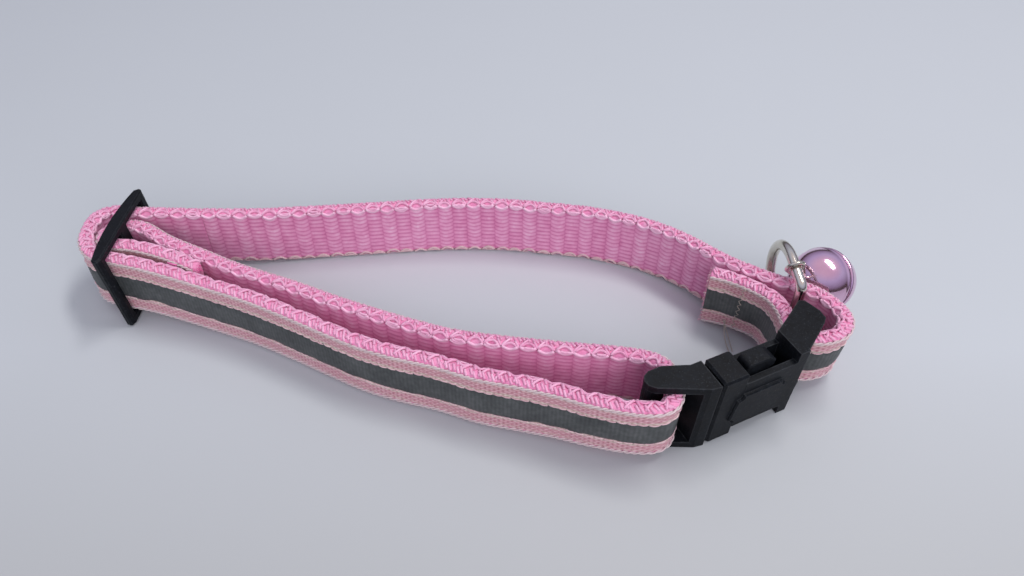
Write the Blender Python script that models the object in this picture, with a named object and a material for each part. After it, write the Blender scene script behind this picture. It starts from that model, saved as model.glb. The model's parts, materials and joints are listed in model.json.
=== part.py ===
"""Adjustable cat collar: one length of 10 mm webbing, a contoured side-release buckle,
a three-bar slider, a D-ring with a jingle bell. It stands on the lower edge of its webbing.

Metres, +Z up. The sizes below are millimetres and are scaled once, in mm().
The plan (X to the right, Y away) has its zero near the middle of the loop; the empty
"collar_frame" carries every piece, so that the world origin is the bottom centre of the box.
"""

import math

import bmesh
import bpy
from mathutils import Matrix, Vector

# ---- driving dimensions, millimetres ----
FRAME_CENTRE = (-7.807, -11.407)  # plan point that becomes the world origin

STRAP_HEIGHT = 9.8
STRAP_THICK = 1.9
STRAP_CHAMFER = 0.35
STRIPE_HEIGHT = 4.1
STRIPE_THICK = 0.16
STRIPE_GAP = 0.07
SPACING = 2.2  # longest step between cross-sections of the webbing
TIGHT_SPACING = 0.9  # the same where the webbing turns tightly
TIGHT_RADIUS = 6.0

BUCKLE_SEAM = (24.7, -29.15)  # plan point where the two halves of the buckle meet
BUCKLE_ANGLE = 26.0  # degrees, direction of the buckle's axis in plan
BUCKLE_TILT = 3.4  # degrees, top towards the outside of the collar
BUCKLE_MID_Z = 6.5
BUCKLE_HALF = 6.3  # half of the buckle's height across the webbing
RAIL = 1.1  # height of a rail above or below the webbing's window
CHANNEL_HALF_WIDTH = 1.45  # inside of the female half, across its thickness
CHANNEL_HALF_HEIGHT = 5.15
WALL_HALF_HEIGHT = 4.6
PRONG_HINGE = (0.9, 4.1)  # along the buckle's axis, and out from its mid height
RELEASE_TRAVEL = 11.5

SLIDER_AT = (-59.4, 0.15)
SLIDER_LEAN = 5.0  # degrees, top towards -X
SLIDER_HEIGHT = 13.0
SLIDER_HALF = 9.2
SLOT_HEIGHT = 10.7
SLIDER_BAR_HALF = 1.05
SLIDER_SLOT = 6.3

RING_FOOT = (40.58, -13.04, 0.66)  # lower end of the D-ring's straight bar
RING_WIRE = 0.76  # radius
RING_SPAN = 13.4  # between the two arms, centre to centre
RING_ARM = 4.88  # straight part of an arm
RING_LEAN = 4.4  # degrees, top towards -X
RING_PITCH = 8.0  # degrees, top towards -Y
RING_TURN = 1.4  # degrees, far end towards -X

BELL_CENTRE = (46.2, -6.6, 7.6)
BELL_RADIUS = 4.85
BELL_WALL = 0.35
BELL_LIP = 0.22
BELL_SEAM = 0.3
BELL_HOOK = 3.6  # out along the ring's upper arm, where the bell's loop hangs
LOOP_WIRE = 0.35
PEA_RADIUS = 1.3

# ---- the webbing's centre line in plan, the height of its middle, and, as a fourth number
# where it isn't upright, how far its upper edge leans towards -Y in degrees ----
# From the sewn tail round the female end bar and the right-hand bend, then along the back.
BACK_PATH = [
    (29.3, -7.4, 5.4, 0),
    (32.0, -8.7, 5.6, 2),
    (34.6, -10.8, 6.0, 5),
    (36.5, -13.1, 6.4, 8),
    (37.3, -15.9, 6.6, 9),
    (37.5, -18.4, 6.55, 9),
    (38.9, -20.5, 6.5, 8.5),
    (41.2, -21.1, 6.5, 8.5),
    (44.0, -20.0, 6.6, 8.5),
    (45.3, -17.6, 6.8, 8.5),
    (44.5, -14.9, 6.95, 8.5),
    (42.0, -12.1, 7.05, 8.5),
    (37.4, -9.4, 6.75, 8),
    (31.9, -4.5, 5.8, 4),
    (26.5, 1.3, 5.3, 2),
    (20.6, 5.4, 5.0, 0),
    (13.0, 8.1, 4.95, 0),
    (5.7, 9.35, 4.95, 0),
    (-1.0, 10.3, 4.95, 0),
    (-7.9, 10.55, 4.95, 0),
    (-14.7, 10.2, 4.95, 0),
    (-22.0, 9.45, 4.95, 0),
    (-31.0, 8.5, 5.0, 0),
    (-40.0, 7.35, 5.3, 0),
    (-49.0, 6.6, 5.8, 0),
]
# Through the slider's far slot, round its left side, out along the front to the male
# buckle's bar, back along the inside, round the slider's middle bar, to the sewn end.
FRONT_PATH = [
    (-49.4, 6.6, 5.8),
    (-54.5, 6.3, 6.2),
    (-59.6, 6.1, 6.5),
    (-63.2, 6.4, 6.5),
    (-65.2, 4.8, 6.5),
    (-65.4, 1.9, 6.5),
    (-64.7, -1.2, 6.5),
    (-62.7, -4.1, 6.5),
    (-59.6, -5.35, 6.5),
    (-54.5, -6.5, 6.2),
    (-49.0, -8.1, 5.7),
    (-43.7, -9.8, 5.2),
    (-37.5, -12.2, 5.0),
    (-31.5, -15.2, 4.95),
    (-25.6, -18.4, 4.95),
    (-20.6, -21.0, 4.95),
    (-15.6, -22.9, 4.95),
    (-9.9, -24.6, 5.0),
    (-4.4, -26.8, 5.1),
    (0.7, -28.3, 5.4),
    (5.6, -29.85, 5.7, 2),
    (10.2, -31.6, 6.0, 4),
    (14.9, -32.95, 6.3, 5),
    (18.1, -33.1, 6.4, 5),
    (19.9, -31.9, 6.45, 5),
    (20.4, -29.3, 6.45, 5.5),
    (19.9, -26.5, 6.45, 6),
    (18.2, -24.7, 6.4, 6),
    (14.2, -23.6, 6.3, 6),
    (4.3, -22.2, 6.0, 5),
    (-6.9, -20.1, 5.5, 3),
    (-12.9, -18.1, 5.2, 1),
    (-20.2, -15.1, 5.0),
    (-25.8, -12.6, 4.95),
    (-31.6, -9.8, 4.95),
    (-37.4, -7.4, 5.0),
    (-42.3, -5.4, 5.2),
    (-47.0, -3.2, 5.6),
    (-52.7, -0.6, 6.1),
    (-57.2, 2.3, 6.4),
    (-60.3, 2.75, 6.5),
    (-61.8, 1.75, 6.5),
    (-62.35, 0.2, 6.5),
    (-61.8, -1.35, 6.5),
    (-60.2, -2.2, 6.5),
    (-56.5, -2.6, 6.4),
    (-51.5, -4.1, 6.1),
    (-46.6, -6.25, 5.6),
]


def mm(*values):
    """Millimetres to metres, as a vector or a single number."""
    if len(values) == 1 and not isinstance(values[0], (tuple, list, Vector)):
        return values[0] * 0.001
    return Vector(values[0] if len(values) == 1 else values) * 0.001


# ---- scene and materials ----
def clear_scene():
    for obj in list(bpy.data.objects):
        bpy.data.objects.remove(obj, do_unlink=True)


def material(name, colour, roughness, metallic=0.0):
    made = bpy.data.materials.get(name) or bpy.data.materials.new(name)
    made.use_nodes = True
    shader = made.node_tree.nodes["Principled BSDF"]
    shader.inputs["Base Color"].default_value = (*colour, 1.0)
    shader.inputs["Roughness"].default_value = roughness
    shader.inputs["Metallic"].default_value = metallic
    return made


def webbing_pink():
    return material("webbing_pink", (0.83, 0.33, 0.50), 0.75)


def reflective_grey():
    return material("reflective_grey", (0.09, 0.10, 0.10), 0.45)


def black_acetal():
    return material("black_acetal", (0.012, 0.014, 0.016), 0.5)


def nickel_steel():
    return material("nickel_steel", (0.62, 0.60, 0.54), 0.18, 1.0)


def bell_pink_metal():
    return material("bell_pink_metal", (0.72, 0.48, 0.62), 0.12, 1.0)


def hot_pink_thread():
    return material("hot_pink_thread", (0.85, 0.12, 0.38), 0.7)


# ---- general modelling helpers ----
def object_from(name, mesh, finish, parent, smooth_angle=None):
    mesh.update()
    obj = bpy.data.objects.new(name, mesh)
    bpy.context.scene.collection.objects.link(obj)
    obj.parent = parent
    if finish:
        mesh.materials.append(finish)
    if smooth_angle is not None:
        mesh.shade_smooth()
        mesh.set_sharp_from_angle(angle=math.radians(smooth_angle))
    return obj


def mesh_from(name, build):
    """A mesh filled in by build(bm), with its faces turned outwards."""
    bm = bmesh.new()
    build(bm)
    bmesh.ops.recalc_face_normals(bm, faces=bm.faces)
    mesh = bpy.data.meshes.new(name)
    bm.to_mesh(mesh)
    bm.free()
    return mesh


def prism(name, outline, low, high, finish=None, parent=None):
    """A plan outline in millimetres, raised from height low to height high."""

    def build(bm):
        base = [bm.verts.new(mm(x, y, low)) for x, y in outline]
        face = bm.faces.new(base)
        raised = bmesh.ops.extrude_face_region(bm, geom=[face])["geom"]
        top = [item for item in raised if isinstance(item, bmesh.types.BMVert)]
        bmesh.ops.translate(bm, verts=top, vec=mm(0, 0, high - low))

    return object_from(name, mesh_from(name, build), finish, parent)


def block(name, low, high, finish=None, parent=None):
    outline = [(low[0], low[1]), (high[0], low[1]), (high[0], high[1]), (low[0], high[1])]
    return prism(name, outline, low[2], high[2], finish, parent)


def upright_rod(name, at, radius, low, high, parent=None, sides=16):
    turns = [2 * math.pi * i / sides for i in range(sides)]
    outline = [(at[0] + radius * math.cos(t), at[1] + radius * math.sin(t)) for t in turns]
    return prism(name, outline, low, high, None, parent)


def upright_oblong(name, at, length, radius, low, high, parent=None, sides=8):
    """An upright bar with round sides, its two centres length apart along X."""
    outline = []
    for centre, start in ((at[0] + length, -math.pi / 2), (at[0], math.pi / 2)):
        turns = [start + math.pi * i / sides for i in range(sides + 1)]
        outline += [(centre + radius * math.cos(t), at[1] + radius * math.sin(t)) for t in turns]
    return prism(name, outline, low, high, None, parent)


def boolean(target, other, operation):
    """Adds or cuts other, which stays in the scene as a hidden guide."""
    modifier = target.modifiers.new(other.name, "BOOLEAN")
    modifier.operation = operation
    modifier.solver = "EXACT"
    modifier.object = other
    other.hide_render = True
    other.display_type = "WIRE"


def soften(target, width, angle=30.0):
    """A small chamfer on the edges of a moulded piece."""
    modifier = target.modifiers.new("edge", "BEVEL")
    modifier.width = mm(width)
    modifier.segments = 1
    modifier.limit_method = "ANGLE"
    modifier.angle_limit = math.radians(angle)
    modifier.use_clamp_overlap = True


def spline_point(p0, p1, p2, p3, t):
    """Catmull-Rom point between p1 and p2."""
    return 0.5 * (
        2 * p1
        + (p2 - p0) * t
        + (2 * p0 - 5 * p1 + 4 * p2 - p3) * t * t
        + (3 * p1 - p0 - 3 * p2 + p3) * t * t * t
    )


def smooth_path(points):
    """Sections along the path, close together where it bends tightly."""
    pts = [Vector((*p, 0.0)[:4]) for p in points]
    pts = [2 * pts[0] - pts[1], *pts, 2 * pts[-1] - pts[-2]]
    made = []
    for i in range(1, len(pts) - 2):
        span = (pts[i + 1] - pts[i]).to_3d().length
        before = (pts[i] - pts[i - 1]).to_2d()
        after = (pts[i + 2] - pts[i + 1]).to_2d()
        bend = before.angle(after)
        tight = bend > span / TIGHT_RADIUS
        steps = max(1, math.ceil(span / (TIGHT_SPACING if tight else SPACING)))
        for k in range(steps):
            made.append(spline_point(pts[i - 1], pts[i], pts[i + 1], pts[i + 2], k / steps))
    made.append(pts[-2])
    return made


def ribbon(name, path, profile, finish, parent):
    """A closed strip: profile (out from the centre line, up) swept along the plan path."""

    def build(bm):
        sections = []
        for i, here in enumerate(path):
            ahead = path[min(i + 1, len(path) - 1)] - path[max(i - 1, 0)]
            along = Vector((ahead.x, ahead.y, 0)).normalized()
            out = Vector((along.y, -along.x, 0))
            lean = math.radians(here.w)
            upright = Vector((0, -math.sin(lean), math.cos(lean)))
            corners = [here.to_3d() + out * o + upright * up for o, up in profile]
            sections.append([bm.verts.new(mm(c)) for c in corners])
        bm.faces.new(sections[0])
        bm.faces.new(list(reversed(sections[-1])))
        for first, second in zip(sections, sections[1:]):
            for k in range(len(profile)):
                n = (k + 1) % len(profile)
                bm.faces.new((first[k], first[n], second[n], second[k]))

    return object_from(name, mesh_from(name, build), finish, parent, 40)


def tube(name, path, radius, finish, parent, sides=10):
    """A round wire along a closed loop of points, in millimetres."""

    def build(bm):
        count = len(path)
        centre = sum(path, Vector()) / count
        plane = (path[1] - path[0]).cross(centre - path[0]).normalized()
        rings = []
        for i in range(count):
            along = (path[(i + 1) % count] - path[i - 1]).normalized()
            side = plane.cross(along).normalized()
            ring = []
            for k in range(sides):
                turn = 2 * math.pi * k / sides
                ring.append(path[i] + radius * (math.cos(turn) * side + math.sin(turn) * plane))
            rings.append([bm.verts.new(mm(p)) for p in ring])
        for i in range(count):
            for k in range(sides):
                n = (k + 1) % sides
                m = (i + 1) % count
                bm.faces.new((rings[i][k], rings[i][n], rings[m][n], rings[m][k]))

    return object_from(name, mesh_from(name, build), finish, parent, 60)


# ---- webbing, stripe and thread ----
def strap_profile():
    half, high, cut = STRAP_THICK / 2, STRAP_HEIGHT / 2, STRAP_CHAMFER
    return [
        (half - cut, -high), (half, -high + cut), (half, high - cut), (half - cut, high),
        (cut - half, high), (-half, high - cut), (-half, cut - high), (cut - half, -high),
    ]


def face_strip_profile(gap, thick, height):
    """A flat strip that lies on the webbing's outer face."""
    low = STRAP_THICK / 2 + gap
    return [
        (low, -height / 2), (low + thick, -height / 2),
        (low + thick, height / 2), (low, height / 2),
    ]


def make_webbing(collar):
    stripe = face_strip_profile(STRIPE_GAP, STRIPE_THICK, STRIPE_HEIGHT)
    for side, points in (("back", BACK_PATH), ("front", FRONT_PATH)):
        path = smooth_path(points)
        ribbon(f"webbing_{side}", path, strap_profile(), webbing_pink(), collar)
        ribbon(f"reflective_stripe_{side}", path, stripe, reflective_grey(), collar)


def make_bartack(name, points, sections, collar):
    """A dense row of stitches across the webbing, lying over the stripe."""
    path = smooth_path(points)[sections]
    profile = face_strip_profile(STRIPE_GAP + STRIPE_THICK + 0.05, 0.22, 8.4)
    ribbon(name, path, profile, hot_pink_thread(), collar)


# ---- slider ----
def slider_outline():
    """Plan of the slider: flat on the right, bowed out to the left, chamfered ends."""
    reach, flat, bow, tip = SLIDER_HALF, 1.0, 1.35, 0.3
    bowed = []
    steps = 8
    for i in range(steps + 1):
        y = reach - 0.5 - (2 * reach - 1.0) * i / steps
        bowed.append((-tip - (bow - tip) * (1 - (y / reach) ** 2), y))
    return [(flat - 0.4, -reach), (flat, -reach + 0.9), (flat, reach - 0.9), (flat - 0.4, reach),
            *bowed]


def make_slider(collar):
    half = SLIDER_HEIGHT / 2
    slider = prism("triglide_slider", slider_outline(), -half, half, black_acetal(), collar)
    for side, low in (("far", SLIDER_BAR_HALF), ("near", -SLIDER_BAR_HALF - SLIDER_SLOT)):
        cutter = block(
            f"slider_slot_{side}",
            (-4, low, -SLOT_HEIGHT / 2),
            (4, low + SLIDER_SLOT, SLOT_HEIGHT / 2),
            None,
            slider,
        )
        boolean(slider, cutter, "DIFFERENCE")
    soften(slider, 0.22)
    slider.location = mm(SLIDER_AT[0], SLIDER_AT[1], half + 0.1)
    slider.rotation_euler.y = -math.radians(SLIDER_LEAN)


# ---- buckle ----
# Its own frame: x along the axis from the seam into the female half, y towards the
# inside of the collar, z up from mid height.
FEMALE_END = [
    (12.2, 2.25), (18.1, 5.35), (18.8, 5.0), (19.45, 2.7), (19.3, 1.3), (18.4, 0.6),
    (13.9, -1.95), (12.2, -2.25),
]
MALE_END = [
    (-0.2, -2.35), (-1.6, -2.1), (-6.4, 0.3), (-7.6, 0.9), (-8.35, 1.7), (-8.45, 2.5), (-8.0, 3.25),
    (-7.2, 3.6), (-5.3, 3.65), (-1.8, 2.25), (-0.2, 2.25),
]
FEMALE_BAR = (18.4, 3.3)
MALE_BAR = (-7.45, 2.45)
MALE_BAR_LENGTH = 1.4  # between the centres of its two round sides
BAR_RADIUS = 0.9


def buckle_frame(collar):
    frame = bpy.data.objects.new("buckle_frame", None)
    bpy.context.scene.collection.objects.link(frame)
    frame.parent = collar
    frame.location = mm(*BUCKLE_SEAM, BUCKLE_MID_Z)
    frame.rotation_euler = (math.radians(BUCKLE_TILT), 0, math.radians(BUCKLE_ANGLE))
    return frame


def raised_panel(frame):
    """The plain raised panel on the convex side, a skewed rounded rectangle."""

    def build(bm):
        corners = [(2.5, -3.0), (10.2, -3.0), (10.9, 2.6), (3.2, 2.6)]
        base = [bm.verts.new(mm(x, -1.9, z)) for x, z in corners]
        face = bm.faces.new(base)
        raised = bmesh.ops.extrude_face_region(bm, geom=[face])["geom"]
        outer = [item for item in raised if isinstance(item, bmesh.types.BMVert)]
        bmesh.ops.translate(bm, verts=outer, vec=mm(0, -0.9, 0))
        upright = [e for e in bm.edges if abs((e.verts[0].co - e.verts[1].co).y) > mm(0.5)]
        bmesh.ops.bevel(bm, geom=upright, offset=mm(0.8), segments=3, affect="EDGES")
        rim = [e for e in bm.edges if all(v.co.y < mm(-2.7) for v in e.verts)]
        bmesh.ops.bevel(bm, geom=rim, offset=mm(0.18), segments=1, affect="EDGES")

    return object_from("panel", mesh_from("panel", build), None, frame)


def make_female(frame):
    half = BUCKLE_HALF
    female = block("buckle_female", (0.3, -2.35, -half), (4.2, 2.25, half), black_acetal(), frame)
    soften(female, 0.3)
    walls = block("female_walls", (4.0, -2.35, -WALL_HALF_HEIGHT),
                  (12.6, 2.25, WALL_HALF_HEIGHT), None, frame)
    end_block = block("female_end_block", (12.05, -2.35, -half), (13.6, 2.25, half), None, frame)
    pieces = [walls, end_block]
    for side, low in (("upper", half - RAIL), ("lower", -half)):
        pieces.append(prism(f"female_rail_{side}", FEMALE_END, low, low + RAIL, None, frame))
    pieces.append(upright_rod("female_bar", FEMALE_BAR, BAR_RADIUS, 0.2 - half, half - 0.2, frame))
    pieces.append(raised_panel(frame))
    for piece in pieces:
        boolean(female, piece, "UNION")
    wide, high = CHANNEL_HALF_WIDTH, CHANNEL_HALF_HEIGHT
    channel = block("female_channel", (-1, -wide, -high), (12.05, wide, high), None, frame)
    boolean(female, channel, "DIFFERENCE")


def make_male(frame):
    half = BUCKLE_HALF
    shoulder = [(-2.3, -1.75), (-1.6, -2.1), (-0.2, -2.35), (-0.2, 2.25), (-1.8, 2.25), (-2.3, 2.45)]
    male = prism("buckle_male", shoulder, -half, half, black_acetal(), frame)
    pieces = []
    for side, low in (("upper", half - RAIL), ("lower", -half)):
        pieces.append(prism(f"male_rail_{side}", MALE_END, low, low + RAIL, None, frame))
    pieces.append(upright_oblong("male_bar", MALE_BAR, MALE_BAR_LENGTH, BAR_RADIUS,
                                 0.2 - half, half - 0.2, frame))
    pieces.append(block("male_guide", (-1.0, -0.95, -0.75), (10.4, 0.95, 0.75), None, frame))
    for piece in pieces:
        boolean(male, piece, "UNION")


def prong_outline(sign):
    """Side view of a release prong: hinge end, beam, catch and thumb tab."""
    points = [
        (0.15, 3.45), (0.15, 4.6), (4.5, 4.75), (4.85, 6.05), (5.2, 6.3),
        (8.3, 6.25), (9.3, 5.5), (9.3, 4.6), (7.6, 3.35),
    ]
    return [(x, sign * z) for x, z in points]


def make_prong(name, sign, frame):
    """The prong's origin is on the line it flexes about."""
    hinge_x, hinge_z = PRONG_HINGE[0], sign * PRONG_HINGE[1]
    half_width = CHANNEL_HALF_WIDTH - 0.3

    def build(bm):
        ends = []
        for y in (-half_width, half_width):
            corners = [mm(x - hinge_x, y, z - hinge_z) for x, z in prong_outline(sign)]
            ends.append([bm.verts.new(c) for c in corners])
        bm.faces.new(ends[0])
        bm.faces.new(list(reversed(ends[1])))
        count = len(ends[0])
        for k in range(count):
            n = (k + 1) % count
            bm.faces.new((ends[0][k], ends[0][n], ends[1][n], ends[1][k]))

    prong = object_from(name, mesh_from(name, build), black_acetal(), frame)
    prong.location = mm(hinge_x, 0, hinge_z)
    soften(prong, 0.12)


# ---- D-ring ----
def ring_points():
    """The D in its own plane: u out from the bar, w up the bar."""
    reach = RING_SPAN / 2
    corner = 0.9
    points = []
    bar_steps = 6
    for i in range(bar_steps + 1):
        points.append((0.0, corner + (RING_SPAN - 2 * corner) * i / bar_steps))
    for i in range(1, 4):
        turn = math.pi - i * math.pi / 8
        points.append((corner + corner * math.cos(turn), RING_SPAN - corner + corner * math.sin(turn)))
    arc_steps = 20
    for i in range(arc_steps + 1):
        turn = math.pi / 2 - math.pi * i / arc_steps
        points.append((RING_ARM + reach * math.cos(turn), reach + reach * math.sin(turn)))
    for i in range(1, 4):
        turn = -math.pi / 2 - i * math.pi / 8
        points.append((corner + corner * math.cos(turn), corner + corner * math.sin(turn)))
    return points


def ring_axes():
    """Directions out from the bar and up the bar."""
    lean, pitch, turn = (math.radians(a) for a in (RING_LEAN, RING_PITCH, RING_TURN))
    up = Vector((-math.sin(lean), -math.sin(pitch), math.cos(lean) * math.cos(pitch))).normalized()
    out = Vector((-math.sin(turn), math.cos(turn), 0))
    return (out - up * out.dot(up)).normalized(), up


def make_ring(collar):
    out, up = ring_axes()
    path = [out * u + up * w for u, w in ring_points()]
    ring = tube("d_ring", path, RING_WIRE, nickel_steel(), collar)
    ring.location = mm(*RING_FOOT)


# ---- bell ----
def bell_hook():
    """Centre and direction of the ring's wire where the bell's loop goes round it."""
    out, up = ring_axes()
    return Vector(RING_FOOT) + up * RING_SPAN + out * BELL_HOOK, -out


def bell_frame(collar):
    """Local +Z runs from the bell's middle to its loop, local Y nearly along the wire."""
    frame = bpy.data.objects.new("bell_frame", None)
    bpy.context.scene.collection.objects.link(frame)
    frame.parent = collar
    at, wire = bell_hook()
    up = (at - Vector(BELL_CENTRE)).normalized()
    level = wire.cross(up).normalized()
    across = up.cross(level)
    turn = Matrix((level, across, up)).transposed()
    frame.matrix_local = Matrix.Translation(mm(BELL_CENTRE)) @ turn.to_4x4()
    return frame


def shell_mesh(name, sign, hole):
    """Half a hollow ball with a lip at the seam, and a round hole at its pole."""
    outer, inner = BELL_RADIUS, BELL_RADIUS - BELL_WALL
    sides, steps = 28, 7
    start = BELL_SEAM / 2
    profile = [(inner, start), (outer + BELL_LIP, start), (outer + BELL_LIP, start + 0.3)]
    first = math.asin((start + 0.3) / outer)
    last = math.acos(hole / outer)
    for i in range(steps + 1):
        turn = first + (last - first) * i / steps
        profile.append((outer * math.cos(turn), outer * math.sin(turn)))
    last = math.acos(hole / inner)
    for i in range(steps):
        turn = last * (1 - i / steps)
        profile.append((inner * math.cos(turn), max(inner * math.sin(turn), start)))

    def build(bm):
        rings = []
        for k in range(sides):
            turn = 2 * math.pi * k / sides
            rings.append([
                bm.verts.new(mm(r * math.cos(turn), r * math.sin(turn), sign * h))
                for r, h in profile
            ])
        count = len(profile)
        for k in range(sides):
            here, there = rings[k], rings[(k + 1) % sides]
            for i in range(count):
                n = (i + 1) % count
                bm.faces.new((here[i], here[n], there[n], there[i]))

    return mesh_from(name, build)


def make_bell(frame):
    finish = bell_pink_metal()
    object_from("bell_shell_loop_side", shell_mesh("loop_side", 1, 0.6), finish, frame, 40)
    far = object_from("bell_shell_slot_side", shell_mesh("slot_side", -1, 0.5), finish, frame, 40)
    slot = block("bell_slot", (-3.1, -0.35, -6), (3.1, 0.35, -2.5), None, frame)
    boolean(far, slot, "DIFFERENCE")
    for name, x in (("bell_slot_end_a", -3.1), ("bell_slot_end_b", 3.1)):
        boolean(far, upright_rod(name, (x, 0), 0.8, -6, -1.5, frame), "DIFFERENCE")


def make_loop(frame):
    """The bell's wire loop: a long oval round the ring's wire, foot on the shell."""
    reach = (bell_hook()[0] - Vector(BELL_CENTRE)).length
    bend = RING_WIRE + 0.25 + LOOP_WIRE
    low, high = BELL_RADIUS + LOOP_WIRE + 0.05 + bend * 0.35, reach
    path = []
    steps = 8
    for i in range(steps + 1):
        turn = math.pi * i / steps
        path.append(Vector((bend * math.cos(turn), 0, high + bend * math.sin(turn))))
    foot = bend * 0.45
    path.append(Vector((-bend, 0, (low + high) / 2)))
    for i in range(steps + 1):
        turn = math.pi + math.pi * i / steps
        path.append(Vector((foot * math.cos(turn), 0, low + 0.35 * bend * math.sin(turn))))
    path.append(Vector((bend, 0, (low + high) / 2)))
    tube("bell_loop", path, LOOP_WIRE, nickel_steel(), frame, 8)


def make_pea(frame):
    def build(bm):
        bmesh.ops.create_icosphere(bm, subdivisions=2, radius=mm(PEA_RADIUS))

    object_from("bell_clapper_ball", mesh_from("pea", build), nickel_steel(), frame, 60)


def make_collar():
    clear_scene()
    collar = bpy.data.objects.new("collar_frame", None)
    bpy.context.scene.collection.objects.link(collar)
    collar.location = mm(-FRAME_CENTRE[0], -FRAME_CENTRE[1], 0)
    make_webbing(collar)
    make_bartack("bartack_tail_seam", BACK_PATH, slice(3, 5), collar)
    make_bartack("bartack_slider_seam", FRONT_PATH, slice(-3, -1), collar)
    make_slider(collar)
    buckle = buckle_frame(collar)
    make_female(buckle)
    make_male(buckle)
    make_prong("buckle_prong_upper", 1, buckle)
    make_prong("buckle_prong_lower", -1, buckle)
    make_ring(collar)
    bell = bell_frame(collar)
    make_bell(bell)
    make_loop(bell)
    make_pea(bell)
    bpy.context.view_layer.update()


make_collar()
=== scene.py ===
"""Looks of the pink cat collar: webbing, yarns, buckle, slider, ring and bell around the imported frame."""

import json
import math

import bpy
import numpy as np
from mathutils import Matrix, Vector


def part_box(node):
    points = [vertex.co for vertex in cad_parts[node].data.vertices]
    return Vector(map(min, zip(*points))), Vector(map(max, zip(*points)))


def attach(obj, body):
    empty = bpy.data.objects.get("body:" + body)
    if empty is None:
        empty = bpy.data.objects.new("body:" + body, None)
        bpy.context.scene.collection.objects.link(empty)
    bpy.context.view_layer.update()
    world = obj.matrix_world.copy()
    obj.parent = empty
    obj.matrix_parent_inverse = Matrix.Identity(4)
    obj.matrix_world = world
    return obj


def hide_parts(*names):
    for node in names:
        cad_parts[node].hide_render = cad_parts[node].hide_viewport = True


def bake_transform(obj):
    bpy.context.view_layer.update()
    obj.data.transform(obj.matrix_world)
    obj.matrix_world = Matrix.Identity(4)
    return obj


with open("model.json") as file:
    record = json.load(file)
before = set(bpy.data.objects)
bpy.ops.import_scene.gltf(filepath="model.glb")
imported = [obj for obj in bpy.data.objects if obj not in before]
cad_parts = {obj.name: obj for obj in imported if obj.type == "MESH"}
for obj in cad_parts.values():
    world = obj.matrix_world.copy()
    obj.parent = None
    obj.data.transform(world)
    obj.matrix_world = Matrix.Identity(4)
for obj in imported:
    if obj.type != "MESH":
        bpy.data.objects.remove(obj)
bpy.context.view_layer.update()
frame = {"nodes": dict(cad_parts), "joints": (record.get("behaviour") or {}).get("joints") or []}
JOINTS = {joint["name"]: joint for joint in frame["joints"]}

# ---- plan of the collar, millimetres: X right, Y away; the record's origin stands at PLAN_SHIFT ----
RING_FOOT = np.array([40.58, -13.04, 0.66])  # lower end of the D-ring's bar, on its hinge
PLAN_SHIFT = np.array(JOINTS["d_ring_swing"]["pos_m"]) * 1000 - RING_FOOT
PLAN_SHIFT[2] = 0.0

# Centre line of the webbing, the height of its middle and, as a fourth number where it isn't
# upright, how far its upper edge leans towards -Y in degrees.
# From the sewn tail round the buckle's end bar and along the back.
BACK_PATH = [
    (29.3, -7.4, 5.4, 0),
    (32.0, -8.7, 5.6, 2),
    (34.6, -10.8, 6.0, 5),
    (36.5, -13.1, 6.4, 8),
    (37.3, -15.9, 6.6, 9),
    (37.5, -18.4, 6.55, 9),
    (38.9, -20.5, 6.5, 8.5),
    (41.2, -21.1, 6.5, 8.5),
    (44.0, -20.0, 6.6, 8.5),
    (45.3, -17.6, 6.8, 8.5),
    (44.5, -14.9, 6.95, 8.5),
    (42.0, -12.1, 7.05, 8.5),
    (37.4, -9.4, 6.75, 8),
    (31.9, -4.5, 5.8, 4),
    (26.5, 1.3, 5.3, 2),
    (20.6, 5.4, 5.0, 0),
    (13.0, 8.1, 4.95, 0),
    (5.7, 9.35, 4.95, 0),
    (-1.0, 10.3, 4.95, 0),
    (-7.9, 10.55, 4.95, 0),
    (-14.7, 10.2, 4.95, 0),
    (-22.0, 9.45, 4.95, 0),
    (-31.0, 8.5, 5.0, 0),
    (-40.0, 7.35, 5.3, 0),
    (-49.4, 6.6, 5.8, 0),
]
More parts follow.
